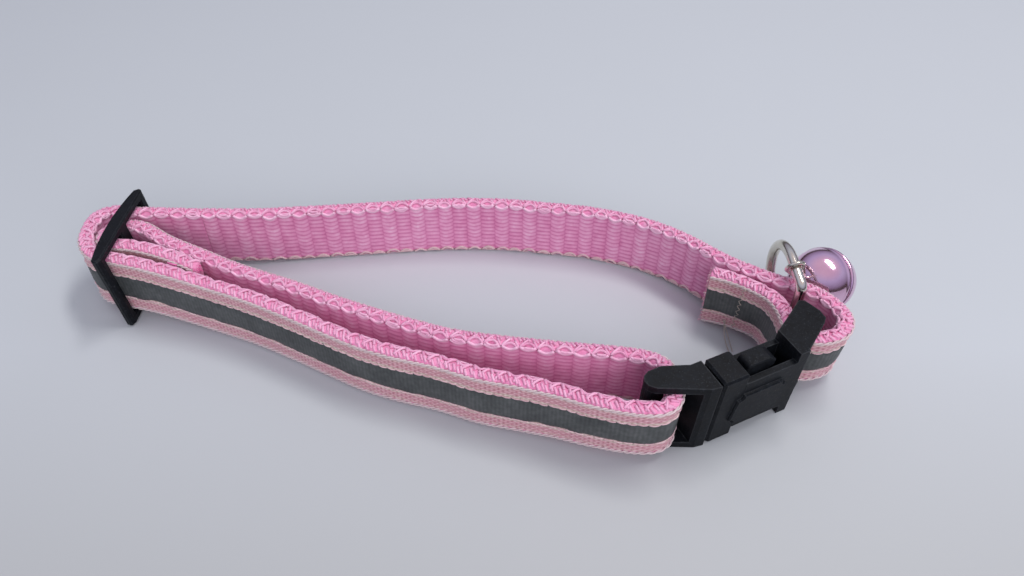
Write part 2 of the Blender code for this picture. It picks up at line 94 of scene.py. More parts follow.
# Through the slider's far slot, along the front, round the male bar and back to the slider.
FRONT_PATH = [
    (-49.4, 6.6, 5.8),
    (-54.5, 6.3, 6.2),
    (-59.6, 6.1, 6.5),
    (-63.2, 6.4, 6.5),
    (-65.2, 4.8, 6.5),
    (-65.4, 1.9, 6.5),
    (-64.7, -1.2, 6.5),
    (-62.7, -4.1, 6.5),
    (-59.6, -5.35, 6.5),
    (-54.5, -6.5, 6.2),
    (-49.0, -8.1, 5.7),
    (-43.7, -9.8, 5.2),
    (-37.5, -12.2, 5.0),
    (-31.5, -15.2, 4.95),
    (-25.6, -18.4, 4.95),
    (-20.6, -21.0, 4.95),
    (-15.6, -22.9, 4.95),
    (-9.9, -24.6, 5.0),
    (-4.4, -26.8, 5.1),
    (0.7, -28.3, 5.4),
    (5.6, -29.85, 5.7, 2),
    (10.2, -31.6, 6.0, 4),
    (14.9, -32.95, 6.3, 5),
    (18.1, -33.1, 6.4, 5),
    (19.9, -31.9, 6.45, 5),
    (20.4, -29.3, 6.45, 5.5),
    (19.9, -26.5, 6.45, 6),
    (18.2, -24.7, 6.4, 6),
    (14.2, -23.6, 6.3, 6),
    (4.3, -22.2, 6.0, 5),
    (-6.9, -20.1, 5.5, 3),
    (-12.9, -18.1, 5.2, 1),
    (-20.2, -15.1, 5.0),
    (-25.8, -12.6, 4.95),
    (-31.6, -9.8, 4.95),
    (-37.4, -7.4, 5.0),
    (-42.3, -5.4, 5.2),
    (-47.0, -3.2, 5.6),
    (-52.7, -0.6, 6.1),
    (-57.2, 2.3, 6.4),
    (-60.3, 2.75, 6.5),
    (-61.8, 1.75, 6.5),
    (-62.35, 0.2, 6.5),
    (-61.8, -1.35, 6.5),
    (-60.2, -2.2, 6.5),
    (-56.5, -2.6, 6.4),
    (-51.5, -4.1, 6.1),
    (-46.6, -6.25, 5.6),
]

# ---- ring and bell, millimetres and degrees ----
RING_WIRE = 0.76  # radius
RING_SPAN = 13.4  # between the two arms
RING_ARM = 4.88  # straight part of an arm
RING_LEAN = 4.4  # top towards -X
RING_PITCH = 8.0  # top towards -Y
RING_TURN = 1.4  # far end towards -X
BELL_HOOK = 3.6  # out along the upper arm, where the bell's loop hangs
BELL_CENTRE = Vector((46.2, -6.6, 7.6))
BELL_POLE = Vector((-0.81, -0.42, 0.41)).normalized()  # from the middle to the loop's foot
BELL_RADIUS = 4.85
BELL_WALL = 0.35
LOOP_WIRE = 0.30
LOOP_FOOT = 0.28  # half the loop's width where it meets the bell

# ---- webbing construction, millimetres ----
HALF_THICK = 0.92
HALF_HEIGHT = 4.85
STEP = 0.22  # along the webbing
COLUMN = 2.38  # length of one warp float on the plain face, and of one loop of the edge binding
ROW = 0.76  # height of one warp float
FLOAT_RISE = 0.075
HEM_CLOSENESS = 0.6  # yarn of the lower edge's binding against the upper edge's
STRIPE_HALF = 2.05
SEAM_HALF = 4.15  # a seam's stitches reach this far above and below the middle
SLIDER_SEAM = 3.6  # from the cut end to the middle of the slider's seam

# ---- moulded pieces, millimetres ----
MOULDED = ("triglide_slider", "buckle_female", "buckle_male", "buckle_prong_upper", "buckle_prong_lower")
EDGE_ROUND = 0.22  # on the slider
BUCKLE_ROUND = 0.13

# ---- camera, millimetres and degrees ----
LENS = 27.7734375  # on a sensor 36 wide
CAMERA_AT = np.array([0, -94.4, 86.5])
CAMERA_DIP = 42.5  # below the horizon


# ================= helpers =================
def rng(seed):
    """A seeded random generator, so each run is the same."""
    return np.random.default_rng(seed)


class Strap:
    """The webbing's centre line, sampled evenly by length, with its outward side."""

    def __init__(self, points):
        fine = self.catmull_rom([np.array((*p, 0.0)[:4], float) for p in points])
        lengths = np.r_[0, np.cumsum(np.linalg.norm(np.diff(fine[:, :3], axis=0), axis=1))]
        self.length = lengths[-1]
        self.count = int(round(self.length / STEP)) + 1
        self.s = np.linspace(0, self.length, self.count)
        self.cells = 2 * int(round(self.length / COLUMN / 2))
        self.cell = self.length / self.cells
        self.centre = np.stack([np.interp(self.s, lengths, fine[:, k]) for k in range(4)], axis=1)
        along = np.gradient(self.centre[:, :2], axis=0)
        along /= np.linalg.norm(along, axis=1, keepdims=True)
        self.out = np.stack([along[:, 1], -along[:, 0]], axis=1)

    @staticmethod
    def catmull_rom(points):
        points = [2 * points[0] - points[1], *points, 2 * points[-1] - points[-2]]
        made = []
        for i in range(1, len(points) - 2):
            p0, p1, p2, p3 = points[i - 1:i + 3]
            for t in np.arange(0, 1, 0.05):
                made.append(0.5 * (2 * p1 + (p2 - p0) * t + (2 * p0 - 5 * p1 + 4 * p2 - p3) * t * t
                                   + (3 * p1 - p0 - 3 * p2 + p3) * t ** 3))
        made.append(points[-2])
        return np.array(made)

    def place(self, s, out, high):
        """Points at length s, out from the centre line and high above its middle."""
        s, out, high = np.broadcast_arrays(s, out, high)
        flat = s.ravel()
        centre = np.stack([np.interp(flat, self.s, self.centre[:, k]) for k in range(4)], axis=1)
        side = np.stack([np.interp(flat, self.s, self.out[:, k]) for k in range(2)], axis=1)
        side /= np.linalg.norm(side, axis=1, keepdims=True)
        lean = np.radians(centre[:, 3])
        made = centre[:, :3]
        made[:, :2] += side * out.ravel()[:, None]
        made[:, 1] -= high.ravel() * np.sin(lean)
        made[:, 2] += high.ravel() * np.cos(lean)
        return made.reshape(*s.shape, 3)


def mesh_object(name, points, faces, materials, uv=None, shade=None, face_material=None):
    """A mesh from points in plan millimetres; uv and shade hold one value for each vertex."""
    mesh = bpy.data.meshes.new(name)
    placed = (np.asarray(points, float).reshape(-1, 3) + PLAN_SHIFT) * 0.001
    if not isinstance(faces, list):
        faces = faces.tolist()
    mesh.from_pydata(placed.tolist(), [], faces)
    for finish in materials:
        mesh.materials.append(finish)
    corner = np.zeros(len(mesh.loops), np.int32)
    mesh.loops.foreach_get("vertex_index", corner)
    if uv is not None:
        layer = mesh.uv_layers.new(name="weave")
        layer.data.foreach_set("uv", np.asarray(uv, np.float32).reshape(-1, 2)[corner].ravel())
    if shade is not None:
        attribute = mesh.attributes.new("shade", "FLOAT", "POINT")
        attribute.data.foreach_set("value", np.asarray(shade, np.float32).ravel())
    if face_material is not None:
        mesh.polygons.foreach_set("material_index", np.asarray(face_material, np.int32))
    mesh.polygons.foreach_set("use_smooth", np.full(len(mesh.polygons), True))
    mesh.update()
    obj = bpy.data.objects.new(name, mesh)
    bpy.context.scene.collection.objects.link(obj)
    return obj


def grid_faces(rows, columns, wrap):
    """Quads of a rows x columns grid of vertices, closed round its columns when wrap is true."""
    last = columns if wrap else columns - 1
    r, c = np.meshgrid(np.arange(rows - 1), np.arange(last), indexing="ij")
    n = (c + 1) % columns
    return np.stack([r * columns + c, r * columns + n, (r + 1) * columns + n, (r + 1) * columns + c],
                    axis=-1).reshape(-1, 4)


def tubes(strands, radii, sides=5):
    """Closed round tubes along many point lists of equal length: (points, faces)."""
    strands = np.asarray(strands, float)
    count, steps, _ = strands.shape
    radii = np.broadcast_to(np.asarray(radii, float), (count, steps))
    along = np.gradient(strands, axis=1)
    along /= np.linalg.norm(along, axis=2, keepdims=True) + 1e-9
    helper = np.where(np.abs(along[..., 2:3]) > 0.8, np.array([1.0, 0.3, 0.0]), np.array([0.0, 0.0, 1.0]))
    side = np.cross(along, helper)
    side /= np.linalg.norm(side, axis=2, keepdims=True)
    other = np.cross(side, along)
    turn = 2 * np.pi * np.arange(sides) / sides
    ring = (np.cos(turn)[:, None] * side[:, :, None, :] + np.sin(turn)[:, None] * other[:, :, None, :])
    points = strands[:, :, None, :] + radii[:, :, None, None] * ring
    one = grid_faces(steps, sides, True)
    block = steps * sides
    faces = (one[None] + np.arange(count)[:, None, None] * block).reshape(-1, 4).tolist()
    for k in range(count):
        faces.append([k * block + i for i in range(sides)][::-1])
        faces.append([(k + 1) * block - sides + i for i in range(sides)])
    return points.reshape(-1, 3), [f[::-1] for f in faces]


# ================= materials =================
class Nodes:
    """Short names for building a node tree."""

    def __init__(self, name):
        self.material = bpy.data.materials.new(name)
        self.material.use_nodes = True
        self.tree = self.material.node_tree
        self.shader = self.tree.nodes["Principled BSDF"]

    def link(self, value, socket):
        if isinstance(value, bpy.types.NodeSocket):
            self.tree.links.new(value, socket)
        else:
            socket.default_value = value

    def math(self, operation, a, b=0.0, c=0.0):
        node = self.tree.nodes.new("ShaderNodeMath")
        node.operation = operation
        for socket, value in zip(node.inputs, (a, b, c)):
            self.link(value, socket)
        return node.outputs[0]

    def noise(self, scale, detail=3.0, stretch=None):
        node = self.tree.nodes.new("ShaderNodeTexNoise")
        node.inputs["Scale"].default_value = scale
        node.inputs["Detail"].default_value = detail
        vector = self.object_point()
        if stretch:
            mapping = self.tree.nodes.new("ShaderNodeMapping")
            mapping.inputs["Scale"].default_value = stretch
            self.tree.links.new(vector, mapping.inputs["Vector"])
            vector = mapping.outputs[0]
        self.tree.links.new(vector, node.inputs["Vector"])
        return node.outputs["Fac"]

    def object_point(self):
        return self.tree.nodes.new("ShaderNodeTexCoord").outputs["Object"]

    def weave_point(self):
        """(length, height) on the webbing in millimetres."""
        node = self.tree.nodes.new("ShaderNodeUVMap")
        node.uv_map = "weave"
        split = self.tree.nodes.new("ShaderNodeSeparateXYZ")
        self.tree.links.new(node.outputs[0], split.inputs[0])
        return (self.math("MULTIPLY", split.outputs[0], 100.0),
                self.math("MULTIPLY", split.outputs[1], 100.0))

    def attribute(self, name):
        node = self.tree.nodes.new("ShaderNodeAttribute")
        node.attribute_name = name
        return node.outputs["Fac"]

    def ramp(self, factor, *stops):
        node = self.tree.nodes.new("ShaderNodeValToRGB")
        elements = node.color_ramp.elements
        while len(elements) < len(stops):
            elements.new(0.5)
        for element, (position, colour) in zip(elements, stops):
            element.position = position
            element.color = (*colour, 1.0)
        self.link(factor, node.inputs[0])
        return node.outputs[0]

    def mix(self, factor, a, b):
        node = self.tree.nodes.new("ShaderNodeMix")
        node.data_type = "RGBA"
        self.link(factor, node.inputs[0])
        for socket, value in ((node.inputs[6], a), (node.inputs[7], b)):
            if isinstance(value, tuple):
                value = (*value, 1.0)
            self.link(value, socket)
        return node.outputs[2]

    def bump(self, height, strength, distance_mm):
        node = self.tree.nodes.new("ShaderNodeBump")
        node.inputs["Strength"].default_value = strength
        node.inputs["Distance"].default_value = distance_mm * 0.001
        self.link(height, node.inputs["Height"])
        return node.outputs[0]

    def finish(self, colour, roughness, metallic=0.0, normal=None, **extra):
        self.link((*colour, 1.0) if isinstance(colour, tuple) else colour, self.shader.inputs["Base Color"])
        self.link(roughness, self.shader.inputs["Roughness"])
        self.link(metallic, self.shader.inputs["Metallic"])
        if normal is not None:
            self.tree.links.new(normal, self.shader.inputs["Normal"])
        for key, value in extra.items():
            self.link(value, self.shader.inputs[key.replace("_", " ")])
        return self.material


def plain_face_material():
    """The ribbed back of the webbing: short warp floats, sagging in every other column."""
    n = Nodes("webbing_plain_face")
    s, z = n.weave_point()
    column = n.math("DIVIDE", s, COLUMN)
    along = n.math("FRACT", column)
    odd = n.math("MODULO", n.math("FLOOR", column), 2.0)
    arch = n.math("SINE", n.math("MULTIPLY", along, math.pi))
    sag = n.math("MULTIPLY", n.math("MULTIPLY", odd, 0.40), arch)
    row = n.math("ADD", n.math("DIVIDE", z, ROW), n.math("ADD", n.math("MULTIPLY", odd, 0.5), sag))
    wobble = n.math("MULTIPLY", n.math("SUBTRACT", n.noise(500.0, 2.0), 0.5), 0.30)
    across = n.math("FRACT", n.math("ADD", row, wobble))
    ridge = n.math("SINE", n.math("MULTIPLY", across, math.pi))
    ends = n.math("POWER", n.math("MAXIMUM", arch, 0.0), 0.30)
    height = n.math("MULTIPLY", n.math("POWER", ridge, 0.8), ends)
    # Painted highlight along the upper lip of every sagging float; adding the float height to the tone
    # below paints shade into the gaps between the floats.
    lip_highlight = n.math("MULTIPLY", n.math("POWER", across, 2.2), 0.30)
    fibres = n.noise(3000.0, 2.0)
    tone = n.math("ADD", n.math("MULTIPLY", height, 0.72), n.math("MULTIPLY", lip_highlight, odd))
    tone = n.math("ADD", tone, n.math("MULTIPLY", n.math("SUBTRACT", fibres, 0.5), 0.30))
    dashes = n.noise(850.0, 3.0)
    tone = n.math("ADD", tone, n.math("MULTIPLY", n.math("SUBTRACT", dashes, 0.5), 0.75))
    patch = n.noise(120.0, 3.0)
    tone = n.math("ADD", tone, n.math("MULTIPLY", n.math("SUBTRACT", patch, 0.5), 0.30))
    colour = n.ramp(tone, (0.0, (0.62, 0.150, 0.340)), (0.40, (0.78, 0.270, 0.500)),
                    (0.75, (0.86, 0.400, 0.620)), (1.0, (0.95, 0.600, 0.780)))
    normal = n.bump(height, 0.55, 0.10)
    return n.finish(colour, 0.60, 0.0, normal, Sheen_Weight=0.4, Sheen_Roughness=0.4)


def outer_face_material():
    """The bands beside the stripe: fine long floats, beige near the cord, pale along the stripe."""
    n = Nodes("webbing_outer_face")
    s, z = n.weave_point()
    course = n.math("DIVIDE", z, 0.36)
    odd = n.math("MODULO", n.math("ADD", n.math("FLOOR", course), 40.0), 2.0)
    step = n.math("FRACT", n.math("ADD", n.math("DIVIDE", s, 1.19), n.math("MULTIPLY", odd, 0.5)))
    dash = n.math("SINE", n.math("MULTIPLY", step, math.pi))
    line = n.math("SINE", n.math("MULTIPLY", n.math("FRACT", course), math.pi))
    tick = n.math("SINE", n.math("MULTIPLY", s, 2 * math.pi / 0.62))
    height = n.math("MULTIPLY", line, n.math("POWER", n.math("MAXIMUM", dash, 0.0), 0.5))
    height = n.math("ADD", height, n.math("MULTIPLY", tick, 0.14))
    fibres = n.noise(2600.0, 3.0)
    fuzz = n.math("MULTIPLY", n.math("SUBTRACT", fibres, 0.5), 0.5)
    # Adding the float height to the tone paints shade into the gaps between the floats and lightens their
    # tops.
    tone = n.math("ADD", n.math("MULTIPLY", height, 0.8), fuzz)
    pink = n.ramp(tone, (0.0, (0.50, 0.190, 0.240)), (0.45, (0.64, 0.320, 0.380)),
                  (1.0, (0.84, 0.560, 0.620)))
    beige = n.ramp(tone, (0.0, (0.48, 0.330, 0.300)), (0.45, (0.66, 0.510, 0.470)),
                   (1.0, (0.86, 0.740, 0.700)))
    wander = n.math("MULTIPLY", n.math("SUBTRACT", n.noise(700.0, 2.0), 0.5), 0.7)
    away = n.math("ABSOLUTE", n.math("ADD", z, wander))
    band = n.ramp(n.math("DIVIDE", away, 5.0), (0.48, (1, 1, 1)), (0.54, (0, 0, 0)), (0.70, (0, 0, 0)),
                  (0.82, (0.8, 0.8, 0.8)))
    colour = n.mix(band, pink, beige)
    normal = n.bump(height, 0.6, 0.08)
    return n.finish(colour, 0.68, 0.0, normal, Sheen_Weight=0.3, Sheen_Roughness=0.4)


def edge_ground_material():
    """Pink ground under the edge binding."""
    n = Nodes("webbing_edge_ground")
    fibres = n.noise(1800.0, 4.0)
    patch = n.noise(500.0, 2.0)
    tone = n.math("ADD", n.math("MULTIPLY", fibres, 0.6), n.math("MULTIPLY", patch, 0.5))
    colour = n.ramp(tone, (0.25, (0.72, 0.170, 0.390)), (0.55, (0.84, 0.290, 0.520)),
                    (0.85, (0.92, 0.470, 0.680)))
    normal = n.bump(fibres, 0.5, 0.10)
    return n.finish(colour, 0.6, 0.0, normal, Sheen_Weight=0.3)


def yarn_material(name, dark, light):
    """Smooth filament yarn; the strand's own shade moves it between dark and light."""
    n = Nodes(name)
    fibres = n.noise(3000.0, 3.0)
    tone = n.math("ADD", n.attribute("shade"), n.math("MULTIPLY", n.math("SUBTRACT", fibres, 0.5), 0.6))
    colour = n.ramp(tone, (0.0, dark), (1.0, light))
    normal = n.bump(fibres, 0.5, 0.05)
    return n.finish(colour, 0.42, 0.0, normal, Sheen_Weight=0.4, Sheen_Roughness=0.35)


def stripe_material():
    """Grey reflective tape: fine cross ribs, scuffs, a soft sheen."""
    n = Nodes("reflective_stripe")
    s, _ = n.weave_point()
    rib = n.math("SINE", n.math("MULTIPLY", s, 2 * math.pi / 0.55))
    grain = n.noise(1500.0, 4.0)
    patch = n.noise(220.0, 4.0)
    tone = n.math("ADD", n.math("MULTIPLY", grain, 0.45), n.math("MULTIPLY", patch, 0.55))
    # The rib term lightens the rib crests and darkens the grooves: painted shade.
    tone = n.math("ADD", tone, n.math("MULTIPLY", rib, 0.04))
    colour = n.ramp(tone, (0.30, (0.040, 0.044, 0.046)), (0.52, (0.075, 0.082, 0.084)),
                    (0.75, (0.13, 0.135, 0.14)))
    height = n.math("ADD", n.math("MULTIPLY", rib, 0.5), n.math("MULTIPLY", grain, 0.8))
    normal = n.bump(height, 0.35, 0.05)
    return n.finish(colour, 0.52, 0.15, normal)


def acetal_material():
    """Black moulded acetal: spark-eroded grain with painted glints, and a painted highlight that makes the
    edges paler.
    """
    n = Nodes("black_acetal")
    grain = n.noise(1500.0, 4.0)
    fine = n.noise(4200.0, 2.0)
    patch = n.noise(160.0, 3.0)
    geometry = n.tree.nodes.new("ShaderNodeNewGeometry")
    rounded = n.tree.nodes.new("ShaderNodeBevel")
    rounded.samples = 6
    rounded.inputs["Radius"].default_value = 0.00035
    turned = n.tree.nodes.new("ShaderNodeVectorMath")
    turned.operation = "DOT_PRODUCT"
    n.link(rounded.outputs[0], turned.inputs[0])
    n.link(geometry.outputs["Normal"], turned.inputs[1])
    # Where the rounded normal turns away from the true one the colour is lightened: a painted highlight
    # along the edges.
    painted_edge_highlight = n.ramp(turned.outputs["Value"], (0.80, (1, 1, 1)), (0.97, (0, 0, 0)))
    tone = n.math("ADD", n.math("MULTIPLY", grain, 0.6), n.math("MULTIPLY", patch, 0.4))
    colour = n.ramp(tone, (0.35, (0.0030, 0.0034, 0.0045)), (0.70, (0.010, 0.012, 0.016)))
    # Pale specks mixed into the colour are painted glints on the grain.
    painted_glints = n.ramp(fine, (0.60, (0, 0, 0)), (0.75, (1, 1, 1)))
    colour = n.mix(n.math("MULTIPLY", painted_glints, 0.5), colour, (0.050, 0.056, 0.064))
    painted_edge_highlight = n.math("MULTIPLY", painted_edge_highlight, n.math("MULTIPLY", grain, 0.9))
    colour = n.mix(painted_edge_highlight, colour, (0.075, 0.082, 0.092))
    height = n.math("ADD", n.math("MULTIPLY", grain, 0.6), n.math("MULTIPLY", fine, 0.4))
    normal = n.bump(height, 0.45, 0.07)
    roughness = n.math("ADD", 0.36, n.math("MULTIPLY", grain, 0.25))
    return n.finish(colour, roughness, 0.0, normal, Specular_IOR_Level=0.12)


def nickel_material():
    """Plated steel wire: warm grey, finely scratched."""
    n = Nodes("nickel_steel")
    patch = n.noise(260.0, 3.0)
    scratch = n.noise(900.0, 4.0, stretch=(1.0, 1.0, 0.15))
    colour = n.ramp(patch, (0.3, (0.62, 0.58, 0.48)), (0.7, (0.80, 0.78, 0.72)))
    roughness = n.math("ADD", 0.10, n.math("MULTIPLY", scratch, 0.16))
    normal = n.bump(scratch, 0.12, 0.03)
    return n.finish(colour, roughness, 1.0, normal)


def bell_material():
    """Pink anodised bell metal, faintly brushed."""
    n = Nodes("bell_pink_metal")
    patch = n.noise(300.0, 3.0)
    brushed = n.noise(1300.0, 4.0)
    colour = n.ramp(patch, (0.3, (0.74, 0.47, 0.66)), (0.7, (0.84, 0.58, 0.74)))
    roughness = n.math("ADD", 0.08, n.math("MULTIPLY", brushed, 0.12))
    normal = n.bump(patch, 0.10, 0.05)
    return n.finish(colour, roughness, 1.0, normal)


# ================= webbing =================
def profile_points():
    """Closed outline of the webbing's section: (out, high, nose out, nose high, part)."""
    flat, corner = HALF_HEIGHT - 0.45, HALF_HEIGHT - 0.85
    rows = []
    for high in np.linspace(flat, -flat, 71):
        rows.append((-HALF_THICK, high, -1, 0, 0))
    turns = np.radians(np.linspace(0, 180, 13)[1:-1])
    nose = []
    for turn in turns:
        c, d = math.cos(turn), math.sin(turn)
        share = (1 + np.sign(c) * abs(c) ** 0.7) / 2
        foot = flat + (corner - flat) * share
        nose.append((HALF_THICK * np.sign(c) * abs(c) ** 0.7, foot + (HALF_HEIGHT - foot) * d, c, d, 2))
    rows += [(o, -h, c, -d, p) for o, h, c, d, p in nose[::-1]]
    for high in np.linspace(-corner, corner, 31):
        rows.append((HALF_THICK, high, 1, 0, 1))
    rows += nose
    return np.array(rows, float)


def float_height(s, high):
    """Rise of the warp floats on the plain face, 0 to 1."""
    column = s / COLUMN
    odd = np.floor(column) % 2
    arch = np.sin(np.pi * (column % 1))
    row = high / ROW + 0.5 * odd + 0.40 * odd * arch
    return np.sin(np.pi * (row % 1)) ** 0.8 * np.clip(arch, 0, 1) ** 0.30


def webbing_body(strap, name, finishes):
    """The solid strap, with its floats raised on the plain face and ribs on the outer one."""
    rows = profile_points()
    out, high, nose_out, nose_high, part = rows.T
    s = strap.s[:, None] * COLUMN / strap.cell
    rise = np.zeros((strap.count, len(rows)))
    plain = part == 0
    rise[:, plain] = FLOAT_RISE * float_height(s, high[plain][None]) - 0.05
    rib = 0.5 + 0.5 * np.cos(2 * np.pi * s / COLUMN)
    rise[:, plain] += 0.04 * (1 - rib)
    outer = part == 1
    rise[:, outer] = 0.03 * np.sin(2 * np.pi * s / 0.78) * (np.abs(high[outer])[None] > STRIPE_HALF)
    edge = part == 2
    rise[:, edge] = -0.05 + 0.05 * np.sin(2 * np.pi * s / COLUMN)
    raised_out = out[None] + nose_out[None] * rise
    raised_high = high[None] + nose_high[None] * rise
    points = strap.place(strap.s[:, None], raised_out, raised_high)
    uv = np.stack(np.broadcast_arrays(s / 100, high[None] / 100), axis=-1)
    faces = grid_faces(strap.count, len(rows), True)
    face_part = np.tile(part.astype(int), strap.count - 1)
    last = (strap.count - 1) * len(rows)
    caps = [list(range(len(rows)))[::-1], [last + i for i in range(len(rows))]]
    faces = faces.tolist() + caps
    face_part = np.r_[face_part, 2, 2]
    return mesh_object(name, points, faces, finishes, uv, None, face_part)


def edge_curve(w):
    """Place across the webbing's top edge: 0 is 1 mm down the plain face, 1 the outer corner."""
    stations = np.array([0.0, 0.25, 0.45, 0.65, 0.85, 1.0])
    outs = np.array([-1.02, -1.04, -0.66, -0.05, 0.55, 0.86])
    highs = np.array([3.85, 4.55, 4.92, 4.93, 4.76, 4.45])
    return np.interp(w, stations, outs), np.interp(w, stations, highs)


def binding_loop(k):
    """Strands of one loop of the edge binding: (lengths along the cell, places across, shade, radius)."""
    t = np.linspace(0, 1, 9)
    arch = np.sin(np.pi * t)
    strands = [(0.05 + 0.90 * t, 0.27 - 0.20 * arch, 0.85, 0.24)]
    if k % 2 == 0:
        strands.append((0.14 + 0.72 * t, 0.29 - 0.14 * arch, 0.80, 0.20))
        strands.append((0.24 + 0.52 * t, 0.30 - 0.02 * arch, 0.60, 0.18))
    strands.append((0.06 + 0.88 * t, 0.30 + 0.24 * arch, 0.35, 0.18))
    strands.append((0.97 - 0.46 * t, 0.30 + 0.52 * t, 0.50, 0.20))
    strands.append((0.03 + 0.24 * t, 0.30 + 0.34 * t, 0.25, 0.20))
    for place, lift in ((0.0, 0.62), (0.25, 0.70), (0.5, 0.62), (0.75, 0.70)):
        strands.append((place + 0.22 * t, lift + 0.26 * t, 0.15 + 0.3 * lift, 0.20))
    return strands


def edge_binding(strap, name, finish, side, seed, closeness=1.0):
    """Loops of yarn over the edge, every other one filled; closeness thins the yarn."""
    random = rng(seed)
    paths, shades, radii = [], [], []
    for k in range(strap.cells):
        start = k * strap.cell + random.normal(0, 0.05)
        for along, across, tone, radius in binding_loop(k):
            s = start + strap.cell * (along + random.normal(0, 0.02))
            out, high = edge_curve(np.clip(across + random.normal(0, 0.025), 0, 1))
            high = high + random.normal(0, 0.03)
            paths.append(strap.place(np.clip(s, 0.02, strap.length - 0.02), out, side * high))
            shades.append(tone + random.normal(0, 0.14))
            radii.append(radius * closeness)
    steps, sides = 9, 6
    points, faces = tubes(paths, np.array(radii)[:, None], sides)
    return mesh_object(name, points, faces, [finish], None, np.repeat(np.array(shades), steps * sides))


def twisted_cord(strap, name, finish, at_out, at_high, size, pitch, seed):
    """A two-ply cord along the webbing."""
    random = rng(seed)
    steps = int(strap.length / 0.14)
    s = np.linspace(0.05, strap.length - 0.05, steps)
    turn = 2 * np.pi * s / pitch + 0.5 * np.sin(s * 0.7)
    paths, shades = [], []
    for ply in (0.0, np.pi):
        out = at_out + size * 0.55 * np.cos(turn + ply)
        high = at_high + size * 0.55 * np.sin(turn + ply)
        paths.append(strap.place(s, out, high))
        knots = np.arange(0, strap.length + 3, 3.0)
        drift = random.normal(0, 0.12, int(strap.length / 3.0) + 2)
        slow = np.interp(s, knots, drift[: len(knots)])
        shades.append(0.6 + slow)
    points, faces = tubes(paths, size * 0.62, 5)
    shade = np.repeat(np.concatenate(shades), 5)
    return mesh_object(name, points, faces, [finish], None, shade)


def stripe_mesh(strap, name, finish, seed):
    """The reflective stripe, domed slightly, with edges that wander under the binding floats."""
    random = rng(seed)
    knots = np.arange(0, strap.length + 1.3, 1.3)
    s = strap.s[:, None]
    wander = [np.interp(strap.s, knots, random.normal(0, 0.10, len(knots))) for _ in range(2)]
    across = np.linspace(-1, 1, 15)
    low = -STRIPE_HALF + wander[0][:, None]
    high = STRIPE_HALF + wander[1][:, None]
    z = low + (high - low) * (across[None] + 1) / 2
    dome = 0.10 * (1 - np.abs(across) ** 6)
    ribs = 0.012 * np.sin(2 * np.pi * s / 0.55)
    out = HALF_THICK + 0.02 + dome[None] + ribs
    top = strap.place(s, out, z)
    under = strap.place(s, np.full_like(out, HALF_THICK - 0.05), z)
    points = np.concatenate([top, under[:, ::-1]], axis=1)
    zz = np.concatenate([z, z[:, ::-1]], axis=1)
    uv = np.stack(np.broadcast_arrays(s / 100, zz / 100), axis=-1)
    width = points.shape[1]
    faces = grid_faces(strap.count, width, True).tolist()
    faces += [list(range(width))[::-1], [(strap.count - 1) * width + i for i in range(width)]]
    return mesh_object(name, points, faces, [finish], uv)


def border_floats(strap, name, finish, seed):
    """Pale floats that hold the stripe down along both of its borders."""
    random = rng(seed)
    t = np.linspace(0, 1, 7)
    paths, shades = [], []
    for border in (-1, 1):
        for k in range(int(strap.length / 1.25)):
            s = k * 1.25 + 0.1 + 1.15 * t + random.normal(0, 0.04)
            s = np.clip(s, 0.05, strap.length - 0.05)
            out = HALF_THICK - 0.03 + 0.13 * np.sin(np.pi * t)
            high = border * (STRIPE_HALF + 0.10 + random.normal(0, 0.05)) + 0.03 * np.cos(np.pi * t)
            paths.append(strap.place(s, out, high))
            shades.append(random.uniform(0.35, 1.0))
    points, faces = tubes(paths, 0.11, 5)
    return mesh_object(name, points, faces, [finish], None, np.repeat(np.array(shades), 7 * 5))


def make_webbing():
    """Both halves of the webbing with their stripe, bindings, cords and border floats."""
    finishes = [plain_face_material(), outer_face_material(), edge_ground_material()]
    stripe = stripe_material()
    binding = yarn_material("binding_yarn", (0.78, 0.29, 0.50), (0.91, 0.54, 0.73))
    cord = yarn_material("selvedge_cord", (0.56, 0.42, 0.45), (0.72, 0.60, 0.62))
    border = yarn_material("border_float", (0.60, 0.34, 0.40), (0.84, 0.60, 0.64))
    hem = yarn_material("lower_binding_yarn", (0.60, 0.31, 0.38), (0.80, 0.58, 0.60))
    made = {}
    for side, path, seed in (("back", BACK_PATH, 11), ("front", FRONT_PATH, 29)):
        strap = Strap(path)
        pieces = [webbing_body(strap, f"webbing_{side}_body", finishes)]
        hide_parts(f"webbing_{side}")
        pieces.append(stripe_mesh(strap, f"stripe_{side}", stripe, seed))
        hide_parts(f"reflective_stripe_{side}")
        for edge, sign in (("top", 1), ("bottom", -1)):
            yarn = binding if sign > 0 else hem
            pieces.append(edge_binding(strap, f"binding_{edge}_{side}", yarn, sign, seed + 1 + sign,
                                       1.0 if sign > 0 else HEM_CLOSENESS))
            pieces.append(twisted_cord(strap, f"selvedge_{edge}_{side}", cord, HALF_THICK + 0.02,
                                       sign * (HALF_HEIGHT - 0.55), 0.22, 1.8, seed + 5 + sign))
        pieces.append(border_floats(strap, f"border_floats_{side}", border, seed + 9))
        made[side] = (strap, pieces)
    start, end = Vector((0.026, 0.018, 0.005)), Vector(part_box("webbing_back")[0])
    end = Vector((end.x, start.y, start.z))
    for piece in made["back"][1]:
        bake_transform(piece)
    for piece in made["front"][1]:
        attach(piece, "male_side")
    return made


# ================= hardware kept from the frame =================
def moulded_edges(node, width):
    """Rounds a moulded piece's edges slightly."""
    weld = node.modifiers.new("weld", "WELD")
    weld.merge_threshold = 0.000002
    flat = node.modifiers.new("flat", "DECIMATE")
    flat.decimate_type = "DISSOLVE"
    flat.angle_limit = math.radians(1.0)
    edge = node.modifiers.new("edge", "BEVEL")
    edge.width = width * 0.001
    edge.segments = 3
    edge.limit_method = "ANGLE"
    edge.angle_limit = math.radians(28)
    edge.use_clamp_overlap = True
    edge.harden_normals = False


